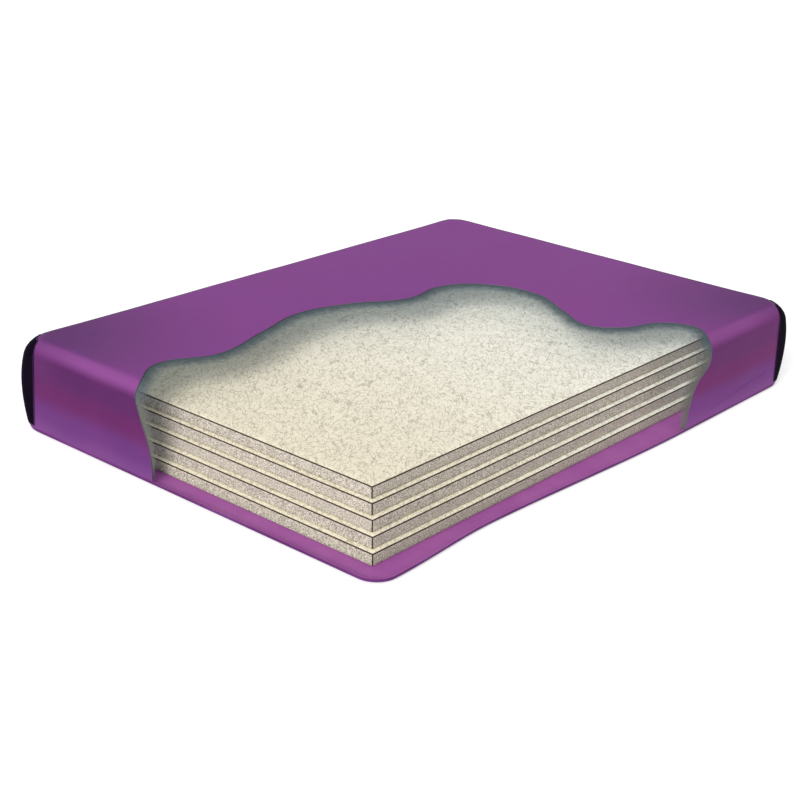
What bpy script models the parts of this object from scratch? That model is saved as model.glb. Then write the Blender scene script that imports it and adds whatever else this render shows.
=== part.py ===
"""Cutaway fibre water mattress: a vinyl cover with one corner cut open over five stacked fibre layers.

Frame: origin at the middle of the underside, +X across the width, +Y along the length, +Z up.
The cut corner is the one at +X, -Y. The fill valve is in the wall at +Y.
"""
import math

import bmesh
import bpy
from mathutils import Matrix, Vector

# overall mattress, in metres
WIDTH = 1.524
LENGTH = 2.134
HEIGHT = 0.300

# vinyl sheet
SHEET = 0.002
GAP = 0.0003
TOP_ROLL = 0.055          # radius of the rolled edge between the top and the walls
BAND_ROLL = 0.012         # radius of the welded band round the bottom
WELD = 0.003              # straight strip at the end of a roll, where the next sheet is welded on
CORNER_END = 0.110        # plan radius of an upright corner at the floor and at the top
CORNER_MID = 0.040        # plan radius of an upright corner at half height, where it is fullest
CORNER_STEPS = 8
ROLL_STEPS = 5
BAND_STEPS = 3
WALL_STEPS = 6
WALL_SPLIT = 0.120        # distance from the long sides at which the end walls are welded on

# corner patches
PATCH = 0.0015
PATCH_REACH = 0.090       # how far a patch runs along each wall from the corner
PATCH_LOW = 0.030         # above the floor
PATCH_DROP = 0.015        # below the top

# fibre layers, numbered from the bottom
LAYERS = 5
LAYER = 0.0365
LAYER_STEP = 0.0183       # each layer is this much smaller on every side than the one below
STACK_INSET_X = 0.108
STACK_INSET_Y = 0.080

# fill valve, pushed in so that its cap is flush with the wall
VALVE_HEIGHT = 0.150
FLANGE_R = 0.045
VALVE_WALL = 0.0018
SLEEVE_R = 0.0300
SLEEVE_DEPTH = 0.0280
NECK_R = 0.0145
NECK_WALL = 0.0020
CAP_CLEARANCE = 0.0005
CAP_SKIRT = 0.0030
CAP_SKIRT_LENGTH = 0.0154
CAP_TOP = 0.0026
CAP_CHAMFER = 0.0015
LINER = 0.0010
PLUG_HEAD = 0.0020
PLUG_LENGTH = 0.0138
PLUG_TAPER = 0.0004
PLUG_WALL = 0.0042
PLUG_FLOOR = 0.0040
TURN_STEPS = 48

# the cut edge, as points that a smooth curve passes through
CUT_TOP = [                # x, y on the top sheet
    (-0.200, -1.067), (-0.283, -0.910), (-0.220, -0.720), (-0.270, -0.490),
    (-0.318, -0.270), (-0.270, -0.080), (-0.175, 0.100), (-0.182, 0.300),
    (-0.095, 0.425), (0.085, 0.473), (0.285, 0.380), (0.407, 0.329),
    (0.500, 0.400), (0.560, 0.530), (0.650, 0.578), (0.762, 0.525),
]
CUT_FRONT = [              # x, z on the front end wall
    (-0.200, 0.300), (-0.204, 0.270), (-0.185, 0.207), (-0.150, 0.130), (-0.134, 0.063), (-0.130, 0.000),
]
CUT_RIGHT = [              # y, z on the right side wall
    (0.500, 0.300), (0.522, 0.260), (0.520, 0.215), (0.448, 0.154), (0.419, 0.085), (0.406, 0.000),
]
CUT_RESOLUTION = 6
CUT_MARGIN = 0.100         # how far a cutter runs past the sheet

PURPLE = (0.26, 0.07, 0.29)
BLACK = (0.012, 0.008, 0.020)
CREAM = (0.78, 0.74, 0.62)
VALVE_WHITE = (0.75, 0.74, 0.70)
CAP_BLUE = (0.05, 0.10, 0.32)

COLLECTION = "cutaway_fibre_water_mattress"


def clear_scene():
    for item in list(bpy.data.objects):
        bpy.data.objects.remove(item, do_unlink=True)


def make_collection(name):
    made = bpy.data.collections.new(name)
    bpy.context.scene.collection.children.link(made)
    return made


def add_object(name, mesh, collection):
    made = bpy.data.objects.new(name, mesh)
    collection.objects.link(made)
    return made


def add_material(item, colour, roughness):
    made = bpy.data.materials.new(item.name)
    made.use_nodes = True
    shader = made.node_tree.nodes["Principled BSDF"]
    shader.inputs["Base Color"].default_value = (*colour, 1.0)
    shader.inputs["Roughness"].default_value = roughness
    shader.inputs["Metallic"].default_value = 0.0
    item.data.materials.append(made)


def smooth(item, degrees=35):
    item.data.shade_smooth()
    item.data.set_sharp_from_angle(angle=math.radians(degrees))


def corner_radius(z):
    """The upright corners are fullest at half height and rounder towards both ends."""
    from_middle = 2 * z / HEIGHT - 1
    return CORNER_MID + (CORNER_END - CORNER_MID) * from_middle ** 2


def outline(z, inset, radius):
    """A rounded rectangle round the mattress at height z, drawn in from its sides by inset."""
    points = []
    for quarter, (side_x, side_y) in enumerate([(1, 1), (-1, 1), (-1, -1), (1, -1)]):
        centre_x = side_x * (WIDTH / 2 - radius)
        centre_y = side_y * (LENGTH / 2 - radius)
        for step in range(CORNER_STEPS + 1):
            angle = (quarter + step / CORNER_STEPS) * math.pi / 2
            reach = radius - inset
            points.append(Vector((centre_x + reach * math.cos(angle), centre_y + reach * math.sin(angle), z)))
    return points


def wall_rings(outset):
    """Outlines up the wall from the welded band, round the rolled top edge and onto the top."""
    low = BAND_ROLL + WELD + GAP
    straight_top = HEIGHT - TOP_ROLL
    rings = []
    for step in range(WALL_STEPS):
        z = low + (straight_top - low) * step / WALL_STEPS
        rings.append(outline(z, -outset, corner_radius(z)))
    for step in range(ROLL_STEPS + 1):
        angle = math.pi / 2 * step / ROLL_STEPS
        reach = TOP_ROLL + outset
        inset = TOP_ROLL - reach * math.cos(angle)
        radius = corner_radius(straight_top + TOP_ROLL * math.sin(angle))
        rings.append(outline(straight_top + reach * math.sin(angle), inset, radius))
    rings.append(outline(HEIGHT + outset, TOP_ROLL + WELD, CORNER_END))
    return rings


def loft(name, rings, collection, thickness):
    """A skin through the rings, thickened inwards."""
    mesh = bpy.data.meshes.new(name)
    shape = bmesh.new()
    loops = [[shape.verts.new(point) for point in ring] for ring in rings]
    count = len(rings[0])
    for lower, upper in zip(loops, loops[1:]):
        for index in range(count):
            following = (index + 1) % count
            shape.faces.new((lower[index], lower[following], upper[following], upper[index]))
    shape.to_mesh(mesh)
    shape.free()
    made = add_object(name, mesh, collection)
    thicken(made, thickness)
    return made


def thicken(item, thickness):
    solidify = item.modifiers.new("thickness", "SOLIDIFY")
    solidify.thickness = thickness
    solidify.offset = -1
    solidify.use_even_offset = True


def plate(name, ring, collection, thickness):
    """A flat sheet inside one outline, its upper face on the outline."""
    mesh = bpy.data.meshes.new(name)
    shape = bmesh.new()
    shape.faces.new([shape.verts.new(point) for point in ring])
    shape.to_mesh(mesh)
    shape.free()
    made = add_object(name, mesh, collection)
    thicken(made, thickness)
    return made


def block(name, low, high, collection):
    mesh = bpy.data.meshes.new(name)
    shape = bmesh.new()
    bmesh.ops.create_cube(shape, size=1.0)
    size = Vector(high) - Vector(low)
    bmesh.ops.scale(shape, vec=size, verts=shape.verts)
    bmesh.ops.translate(shape, vec=(Vector(high) + Vector(low)) / 2, verts=shape.verts)
    shape.to_mesh(mesh)
    shape.free()
    return add_object(name, mesh, collection)


def as_cutter(item):
    item.hide_render = True
    item.display_type = "WIRE"
    return item


def boolean(item, cutter, operation):
    cut = item.modifiers.new(cutter.name, "BOOLEAN")
    cut.operation = operation
    cut.solver = "EXACT"
    cut.object = cutter


def outline_cutter(name, knots, closing, depth, matrix, collection):
    """A prism on a flat outline: a smooth curve through the knots, closed by straight lines."""
    curve = bpy.data.curves.new(name, "CURVE")
    curve.dimensions = "2D"
    curve.fill_mode = "BOTH"
    curve.extrude = depth / 2
    curve.resolution_u = CUT_RESOLUTION
    spline = curve.splines.new("BEZIER")
    points = knots + closing
    spline.bezier_points.add(len(points) - 1)
    spline.use_cyclic_u = True
    for index, (point, target) in enumerate(zip(spline.bezier_points, points)):
        point.co = (target[0], target[1], 0.0)
        kind = "AUTO" if index < len(knots) else "VECTOR"
        point.handle_left_type = kind
        point.handle_right_type = kind
    first = spline.bezier_points[0]
    last = spline.bezier_points[len(knots) - 1]
    first.handle_left_type = "VECTOR"
    last.handle_right_type = "VECTOR"
    guide = add_object(name + "_outline", curve, collection)
    guide.matrix_world = matrix
    bpy.context.view_layer.update()
    evaluated = guide.evaluated_get(bpy.context.evaluated_depsgraph_get())
    mesh = bpy.data.meshes.new_from_object(evaluated)
    shape = bmesh.new()
    shape.from_mesh(mesh)
    bmesh.ops.remove_doubles(shape, verts=shape.verts, dist=0.00001)
    bmesh.ops.recalc_face_normals(shape, faces=shape.faces)
    shape.to_mesh(mesh)
    shape.free()
    made = add_object(name, mesh, collection)
    made.matrix_world = matrix
    bpy.data.objects.remove(guide, do_unlink=True)
    return as_cutter(made)


def turned(name, profile, closed, collection):
    """A ring or a solid turned about the valve's axis; heights are measured out from the wall."""
    mesh = bpy.data.meshes.new(name)
    count = len(profile)
    edges = [(index, index + 1) for index in range(count - 1)]
    if closed:
        edges.append((count - 1, 0))
    mesh.from_pydata([(radius, 0.0, height) for radius, height in profile], edges, [])
    made = add_object(name, mesh, collection)
    screw = made.modifiers.new("turn", "SCREW")
    screw.axis = "Z"
    screw.steps = TURN_STEPS
    screw.render_steps = TURN_STEPS
    screw.use_merge_vertices = True
    screw.merge_threshold = 0.00001
    made.location = (0.0, LENGTH / 2, VALVE_HEIGHT)
    made.rotation_euler = (-math.pi / 2, 0.0, 0.0)
    return made


def window_cutters(collection):
    """Three prisms that open the front right corner: through the top and through both walls."""
    out_x = WIDTH / 2 + CUT_MARGIN
    out_y = LENGTH / 2 + CUT_MARGIN
    roll_line = HEIGHT - TOP_ROLL
    top_depth = TOP_ROLL + CUT_MARGIN
    wall_depth = TOP_ROLL + CUT_MARGIN
    over = HEIGHT + CUT_MARGIN
    under = -CUT_MARGIN
    depth = TOP_ROLL + CUT_MARGIN
    top_closing = [(out_x, CUT_TOP[-1][1]), (out_x, -out_y), (CUT_TOP[0][0], -out_y)]
    front_closing = [(CUT_FRONT[-1][0], under), (out_x, under), (out_x, over), (CUT_FRONT[0][0], over)]
    right_closing = [(CUT_RIGHT[-1][0], under), (-out_y, under), (-out_y, over), (CUT_RIGHT[0][0], over)]
    top_place = matrix_at((0, 0, HEIGHT - TOP_ROLL + depth / 2), (1, 0, 0), (0, 1, 0))
    front_place = matrix_at((0, -LENGTH / 2 + TOP_ROLL - depth / 2, 0), (1, 0, 0), (0, 0, 1))
    right_place = matrix_at((WIDTH / 2 - TOP_ROLL + depth / 2, 0, 0), (0, 1, 0), (0, 0, 1))
    return (
        outline_cutter("cut_top", CUT_TOP, top_closing, depth, top_place, collection),
        outline_cutter("cut_front", CUT_FRONT, front_closing, depth, front_place, collection),
        outline_cutter("cut_right", CUT_RIGHT, right_closing, depth, right_place, collection),
    )


def matrix_at(origin, across, up):
    """A placement whose local X and Y run along the two given directions."""
    first = Vector(across)
    second = Vector(up)
    third = first.cross(second)
    rotation = Matrix((first, second, third)).transposed().to_4x4()
    return Matrix.Translation(Vector(origin)) @ rotation


def make_bottom(parts):
    sheet = plate("bottom_sheet", outline(SHEET, BAND_ROLL + WELD + GAP, CORNER_END), parts, SHEET)
    add_material(sheet, PURPLE, 0.35)
    rings = []
    for step in range(BAND_STEPS + 1):
        angle = math.pi / 2 * step / BAND_STEPS
        inset = BAND_ROLL * (1 - math.sin(angle))
        rings.append(outline(BAND_ROLL * (1 - math.cos(angle)), inset, CORNER_END))
    rings.insert(0, outline(0.0, BAND_ROLL + WELD, CORNER_END))
    rings.append(outline(BAND_ROLL + WELD, 0.0, CORNER_END))
    band = loft("bottom_weld_band", rings, parts, SHEET)
    add_material(band, PURPLE, 0.35)
    smooth(band)


def make_top(parts, window):
    sheet = plate("top_sheet", outline(HEIGHT, TOP_ROLL + WELD + GAP, CORNER_END), parts, SHEET)
    boolean(sheet, window[0], "DIFFERENCE")
    add_material(sheet, PURPLE, 0.35)


def make_walls(parts, cutters, window):
    split_x = WIDTH / 2 - WALL_SPLIT
    far_x = WIDTH / 2 + CUT_MARGIN
    far_y = LENGTH / 2 + CUT_MARGIN
    low = -CUT_MARGIN
    high = HEIGHT + CUT_MARGIN
    walls = {
        "front_end_wall": ((-split_x, -far_y, low), (split_x, 0.0, high)),
        "back_end_wall": ((-split_x, 0.0, low), (split_x, far_y, high)),
        "left_side_wall": ((-far_x, -far_y, low), (-split_x - GAP, far_y, high)),
        "right_side_wall": ((split_x + GAP, -far_y, low), (far_x, far_y, high)),
    }
    for name, (corner_low, corner_high) in walls.items():
        wall = loft(name, wall_rings(0.0), parts, SHEET)
        region = as_cutter(block(name + "_region", corner_low, corner_high, cutters))
        boolean(wall, region, "INTERSECT")
        if name in ("front_end_wall", "right_side_wall"):
            for cutter in window:
                boolean(wall, cutter, "DIFFERENCE")
        if name == "back_end_wall":
            boolean(wall, valve_hole(cutters), "DIFFERENCE")
        add_material(wall, PURPLE, 0.35)
        smooth(wall)


def valve_hole(cutters):
    reach = SLEEVE_R + GAP
    half = TOP_ROLL
    profile = [(0, half), (reach, half), (reach, -half), (0, -half)]
    return as_cutter(turned("valve_hole", profile, False, cutters))


def make_patches(parts, cutters):
    corners = {
        "left_corner_patch": (-1, -1),
        "back_corner_patch": (-1, 1),
        "right_corner_patch": (1, 1),
    }
    for name, (side_x, side_y) in corners.items():
        patch = loft(name, wall_rings(GAP + PATCH), parts, PATCH)
        inner = (side_x * (WIDTH / 2 - PATCH_REACH), side_y * (LENGTH / 2 - PATCH_REACH))
        outer = (side_x * (WIDTH / 2 + CUT_MARGIN), side_y * (LENGTH / 2 + CUT_MARGIN))
        low = (min(inner[0], outer[0]), min(inner[1], outer[1]), PATCH_LOW)
        high = (max(inner[0], outer[0]), max(inner[1], outer[1]), HEIGHT - PATCH_DROP)
        boolean(patch, as_cutter(block(name + "_region", low, high, cutters)), "INTERSECT")
        add_material(patch, BLACK, 0.45)
        smooth(patch)


def make_fibre(parts):
    for index in range(LAYERS):
        shrink = LAYER_STEP * index
        half_x = WIDTH / 2 - STACK_INSET_X - shrink
        half_y = LENGTH / 2 - STACK_INSET_Y - shrink
        low = SHEET + GAP + index * (LAYER + GAP)
        high = low + LAYER
        layer = block(f"fibre_layer_{index + 1}", (-half_x, -half_y, low), (half_x, half_y, high), parts)
        add_material(layer, CREAM, 0.95)


def make_valve(parts):
    floor = -SLEEVE_DEPTH
    plug_seat = -(CAP_TOP + GAP + LINER + GAP + PLUG_HEAD + GAP)
    neck_bore = NECK_R - NECK_WALL
    flange_top = GAP + PATCH
    sleeve_bore = SLEEVE_R - VALVE_WALL
    body = turned("valve_body", [
        (FLANGE_R, flange_top), (FLANGE_R, GAP), (SLEEVE_R, GAP), (SLEEVE_R, floor), (neck_bore, floor),
        (neck_bore, plug_seat), (NECK_R, plug_seat), (NECK_R, floor + VALVE_WALL),
        (sleeve_bore, floor + VALVE_WALL), (sleeve_bore, flange_top)], True, parts)
    head_low = plug_seat + GAP
    head_high = head_low + PLUG_HEAD
    stem = neck_bore - GAP
    stem_end = head_low - PLUG_LENGTH
    plug = turned("valve_plug", [
        (0, stem_end + PLUG_FLOOR), (stem - PLUG_WALL, stem_end + PLUG_FLOOR), (stem - PLUG_WALL, head_high),
        (NECK_R, head_high), (NECK_R, head_low), (stem, head_low), (stem - PLUG_TAPER, stem_end),
        (0, stem_end)], False, parts)
    liner_low = head_high + GAP
    liner_high = liner_low + LINER
    liner = turned("cap_liner", [(0, liner_high), (NECK_R, liner_high), (NECK_R, liner_low), (0, liner_low)],
                   False, parts)
    skirt_bore = NECK_R + CAP_CLEARANCE
    cap_r = skirt_bore + CAP_SKIRT
    under = liner_high + GAP
    cap_high = under + CAP_TOP
    skirt_end = under - CAP_SKIRT_LENGTH
    cap = turned("valve_cap", [
        (0, cap_high), (cap_r - CAP_CHAMFER, cap_high), (cap_r, cap_high - CAP_CHAMFER), (cap_r, skirt_end),
        (skirt_bore, skirt_end), (skirt_bore, under), (0, under)], False, parts)
    for item, colour, roughness in ((body, PURPLE, 0.4), (plug, VALVE_WHITE, 0.5), (liner, VALVE_WHITE, 0.7),
                                    (cap, CAP_BLUE, 0.4)):
        add_material(item, colour, roughness)
        smooth(item)


def main():
    clear_scene()
    parts = make_collection(COLLECTION)
    cutters = make_collection("cutters")
    window = window_cutters(cutters)
    make_bottom(parts)
    make_top(parts, window)
    make_walls(parts, cutters, window)
    make_patches(parts, cutters)
    make_fibre(parts)
    make_valve(parts)


main()
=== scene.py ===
import bmesh
import bpy
import math
from mathutils import Matrix, Vector, noise


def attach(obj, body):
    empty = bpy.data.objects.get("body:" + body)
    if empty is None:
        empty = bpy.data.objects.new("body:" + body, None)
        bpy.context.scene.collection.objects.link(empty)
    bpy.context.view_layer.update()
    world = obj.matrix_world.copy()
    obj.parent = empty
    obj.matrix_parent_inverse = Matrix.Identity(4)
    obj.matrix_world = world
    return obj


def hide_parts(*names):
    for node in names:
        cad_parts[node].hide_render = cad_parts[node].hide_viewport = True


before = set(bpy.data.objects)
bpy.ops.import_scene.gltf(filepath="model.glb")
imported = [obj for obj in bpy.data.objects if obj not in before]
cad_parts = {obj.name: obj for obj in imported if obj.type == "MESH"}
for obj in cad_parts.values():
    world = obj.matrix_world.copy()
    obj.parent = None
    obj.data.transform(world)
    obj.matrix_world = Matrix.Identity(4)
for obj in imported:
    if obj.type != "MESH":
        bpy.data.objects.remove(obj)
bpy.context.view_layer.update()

mattress = {
    "width": 1.524, "length": 2.134, "height": 0.300,
    "roll": 0.055,  # radius of the rolled top edge
    "cornerFloor": 0.086, "cornerTop": 0.110,  # plan radius of an upright corner at the floor and at the top
    "cornerMid": 0.040,  # and at half height
    "sheet": 0.002,
}


def startClean():
    if bpy.context.mode != "OBJECT":
        bpy.ops.object.mode_set(mode="OBJECT")
    bpy.ops.object.select_all(action="DESELECT")


def useOnly(item):
    startClean()
    item.select_set(True)
    bpy.context.view_layer.objects.active = item


def editOn(item, kind="FACE"):
    useOnly(item)
    bpy.ops.object.mode_set(mode="EDIT")
    bpy.ops.mesh.select_mode(type=kind)


def editOff():
    bpy.ops.object.mode_set(mode="OBJECT")


def pick(item, kind, test):  # kind is verts, edges or faces
    bpy.ops.mesh.select_all(action="DESELECT")
    shape = bmesh.from_edit_mesh(item.data)
    for part in getattr(shape, kind):
        if test(part):
            part.select_set(True)
    bmesh.update_edit_mesh(item.data)


def named(name):
    made = bpy.context.object
    made.name = name
    made.data.name = name
    return made


def applyPlace(item):
    useOnly(item)
    bpy.ops.object.transform_apply(location=True, rotation=True, scale=True)


def applyModifier(item, kind, **settings):
    useOnly(item)
    made = item.modifiers.new(kind.lower(), kind)
    for key, value in settings.items():
        setattr(made, key, value)
    bpy.ops.object.modifier_apply(modifier=made.name)


def smoothEdges(item, degrees=35):
    useOnly(item)
    bpy.ops.object.shade_smooth_by_angle(angle=math.radians(degrees))


def addGrid(name, xParts, yParts, width, length, height):
    startClean()
    bpy.ops.mesh.primitive_grid_add(x_subdivisions=xParts, y_subdivisions=yParts, size=1, location=(0, 0, height))
    made = named(name)
    made.scale = (width, length, 1)
    applyPlace(made)
    return made


def clamp(value):
    return min(1.0, max(0.0, value))


def smoothStep(share):
    return share * share * (3 - 2 * share)


def faceOutward(item):
    editOn(item)
    bpy.ops.mesh.select_all(action="SELECT")
    bpy.ops.mesh.normals_make_consistent(inside=False)
    editOff()


def turnFacesOver(item):
    editOn(item)
    bpy.ops.mesh.select_all(action="SELECT")
    bpy.ops.mesh.flip_normals()
    editOff()


def giveMaterials(item, *materials):
    for material in materials:
        item.data.materials.append(material)


# node helpers

def addNode(tree, kind, inputs=None, **settings):
    made = tree.nodes.new(kind)
    for key, value in settings.items():
        setattr(made, key, value)
    for key, value in (inputs or {}).items():
        if isinstance(value, bpy.types.NodeSocket):
            tree.links.new(value, made.inputs[key])
        else:
            made.inputs[key].default_value = value
    return made


def mathNode(tree, operation, first, second=None, clamp=False):
    inputs = {0: first}
    if second is not None:
        inputs[1] = second
    return addNode(tree, "ShaderNodeMath", inputs, operation=operation, use_clamp=clamp).outputs[0]


def mixColour(tree, factor, first, second, blend="MIX"):
    made = addNode(tree, "ShaderNodeMix", {0: factor, 6: first, 7: second}, data_type="RGBA", blend_type=blend)
    return made.outputs[2]


def mapRange(tree, value, low, high, toLow=0.0, toHigh=1.0, smooth=True):
    made = addNode(tree, "ShaderNodeMapRange", {0: value, 1: low, 2: high, 3: toLow, 4: toHigh})
    made.interpolation_type = "SMOOTHSTEP" if smooth else "LINEAR"
    return made.outputs[0]


def band(tree, value, rising, falling):  # one between the two slopes, nothing outside them
    return mathNode(tree, "MULTIPLY", mapRange(tree, value, *rising), mapRange(tree, value, *falling, 1.0, 0.0))


def separate(tree, vector):
    return addNode(tree, "ShaderNodeSeparateXYZ", {0: vector}).outputs

def colourRamp(tree, value, stops, blend="EASE"):
    made = addNode(tree, "ShaderNodeValToRGB", {0: value})
    ramp = made.color_ramp
    ramp.interpolation = blend
    for index, (place, colour) in enumerate(stops):
        stop = ramp.elements[index] if index < 2 else ramp.elements.new(place)
        stop.position = place
        stop.color = colour
    return made.outputs[0]


def noiseNode(tree, vector, scale, detail=2.0, roughness=0.5):
    inputs = {"Vector": vector, "Scale": scale, "Detail": detail, "Roughness": roughness}
    return addNode(tree, "ShaderNodeTexNoise", inputs).outputs


def screenColour(red, green, blue):  # a colour as a paint chart gives it, 0 to 255
    parts = [value / 255 for value in (red, green, blue)]
    return (*(part / 12.92 if part <= 0.04045 else ((part + 0.055) / 1.055) ** 2.4 for part in parts), 1)


def newGroup(name, inputs, outputs):
    tree = bpy.data.node_groups.new(name, "ShaderNodeTree")
    tree.interface.new_socket(name="Vector", in_out="INPUT", socket_type="NodeSocketVector")
    for label, value in inputs.items():
        socket = tree.interface.new_socket(name=label, in_out="INPUT", socket_type="NodeSocketFloat")
        socket.default_value = value
    for label in outputs:
        tree.interface.new_socket(name=label, in_out="OUTPUT", socket_type="NodeSocketFloat")
    return tree, tree.nodes.new("NodeGroupInput").outputs, tree.nodes.new("NodeGroupOutput").inputs


def placeGroup(tree, group, inputs):
    return addNode(tree, "ShaderNodeGroup", inputs, node_tree=group).outputs


def vinylGrainGroup():  # fine grain of calendered vinyl, and cloudy rubbed areas
    scales = {"Grain Scale": 420.0, "Cloud Scale": 5.0}
    tree, given, out = newGroup("vinylGrain", scales, ("Height", "Cloud", "Roughness Shift"))
    cellInputs = {"Vector": given["Vector"], "Scale": given["Grain Scale"]}
    cells = addNode(tree, "ShaderNodeTexVoronoi", cellInputs, feature="DISTANCE_TO_EDGE")
    pebble = mapRange(tree, cells.outputs["Distance"], 0.0, 0.35)
    ripple = noiseNode(tree, given["Vector"], 14.0, 3.0)
    cloud = noiseNode(tree, given["Vector"], given["Cloud Scale"], 4.0, 0.55)
    slow = mathNode(tree, "MULTIPLY", ripple["Fac"], 6.0)
    tree.links.new(mathNode(tree, "ADD", pebble, slow), out["Height"])
    tree.links.new(mapRange(tree, cloud["Fac"], 0.3, 0.7), out["Cloud"])
    tree.links.new(mapRange(tree, cloud["Fac"], 0.3, 0.7, -0.015, 0.02), out["Roughness Shift"])
    return tree


curlLook = {
    "runs": [(0.0, 1.0), (1.1, 0.8), (2.3, 1.25)],  # turn and share of the scale of each set of fibres
    "bendScale": 55.0, "bend": 0.014,
    "breakScale": 62.0,  # how often a fibre dips out of sight
    "fuzzScale": 700.0,
}


def curlyFibreGroup():  # short crimped fibres lying in all directions
    tree, given, out = newGroup("curlyFibre", {"Scale": 60.0, "Width": 0.035, "Cover": 0.5}, ("Lines", "Height"))
    masks = []
    for turn, share in curlLook["runs"]:
        placing = {"Vector": given["Vector"], "Location": (turn * 3.1, turn * 1.7, turn), "Rotation": (0, 0, turn)}
        placed = addNode(tree, "ShaderNodeMapping", placing).outputs[0]
        bend = noiseNode(tree, placed, curlLook["bendScale"], 2.0)
        shift = addNode(tree, "ShaderNodeVectorMath", {0: bend["Color"], "Scale": curlLook["bend"]}, operation="SCALE")
        bent = addNode(tree, "ShaderNodeVectorMath", {0: placed, 1: shift.outputs[0]}, operation="ADD")
        field = noiseNode(tree, bent.outputs[0], mathNode(tree, "MULTIPLY", given["Scale"], share), 0.0)
        level = mathNode(tree, "ABSOLUTE", mathNode(tree, "SUBTRACT", field["Fac"], 0.5))
        line = mathNode(tree, "SUBTRACT", 1.0, mathNode(tree, "DIVIDE", level, given["Width"]), clamp=True)
        broken = noiseNode(tree, placed, curlLook["breakScale"], 1.0)
        gap = mathNode(tree, "SUBTRACT", given["Cover"], broken["Fac"])
        masks.append(mathNode(tree, "MULTIPLY", line, mapRange(tree, gap, -0.04, 0.06)))
    lines = mathNode(tree, "MAXIMUM", mathNode(tree, "MAXIMUM", masks[0], masks[1]), masks[2])
    fuzz = noiseNode(tree, given["Vector"], curlLook["fuzzScale"], 2.0)
    tree.links.new(lines, out["Lines"])
    tree.links.new(mathNode(tree, "ADD", mathNode(tree, "MULTIPLY", lines, 1.2), fuzz["Fac"]), out["Height"])
    return tree


vinylGrain = vinylGrainGroup()
curlyFibre = curlyFibreGroup()


def newMaterial(name, roughness, **sockets):
    made = bpy.data.materials.new(name)
    made.use_nodes = True
    tree = made.node_tree
    shader = tree.nodes["Principled BSDF"]
    shader.inputs["Roughness"].default_value = roughness
    for key, value in sockets.items():
        shader.inputs[key.replace("_", " ")].default_value = value
    coords = addNode(tree, "ShaderNodeTexCoord").outputs["Object"]
    return made, tree, shader, coords


def bumpTo(tree, shader, height, strength, distance):
    bump = addNode(tree, "ShaderNodeBump", {"Height": height, "Strength": strength, "Distance": distance})
    tree.links.new(bump.outputs[0], shader.inputs["Normal"])


faintGloss = 1.12  # the low IOR of vinyl and fibre that hardly shine
vinylBump = {"strength": 0.25, "distance": 0.0004}

coverPaint = {
    # foot to upper: painted shading down the walls, lighter at the foot and darker up under the roll
    "foot": screenColour(118, 66, 130),
    "low": screenColour(102, 50, 116),
    "middle": screenColour(98, 34, 92),
    "upper": screenColour(86, 34, 90),
    # painted highlight along the rolled top edge
    "ridgeHighlight": screenColour(128, 70, 131),
    "top": screenColour(123, 60, 133),
    # painted shade: the top darkens towards the left and right corners
    "topCornerShade": screenColour(86, 45, 100),
    "frontShade": (0.72, 0.76, 0.76, 1),  # painted shade that evens out the front end, which looks towards the light
    # painted shade of the crease on the right wall
    "creaseShade": screenColour(70, 30, 84), "creaseShare": 0.35,
    # painted shade along the two far top edges
    "weld": screenColour(58, 22, 62),
    "rubbed": screenColour(140, 70, 130), "rubbedShare": 0.10,
    "roughness": 0.44,
    # the two corners that the painted shade on the top darkens towards, and how far it reaches
    "shadedCorners": [(-0.76, -1.06, 0.3), (0.76, 1.06, 0.3)], "cornerShadeReach": 0.75,
    "creaseRun": (0.50, 0.98), "creaseHeights": (0.036, 0.085), "creaseHalfWidth": 0.006,
}


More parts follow.
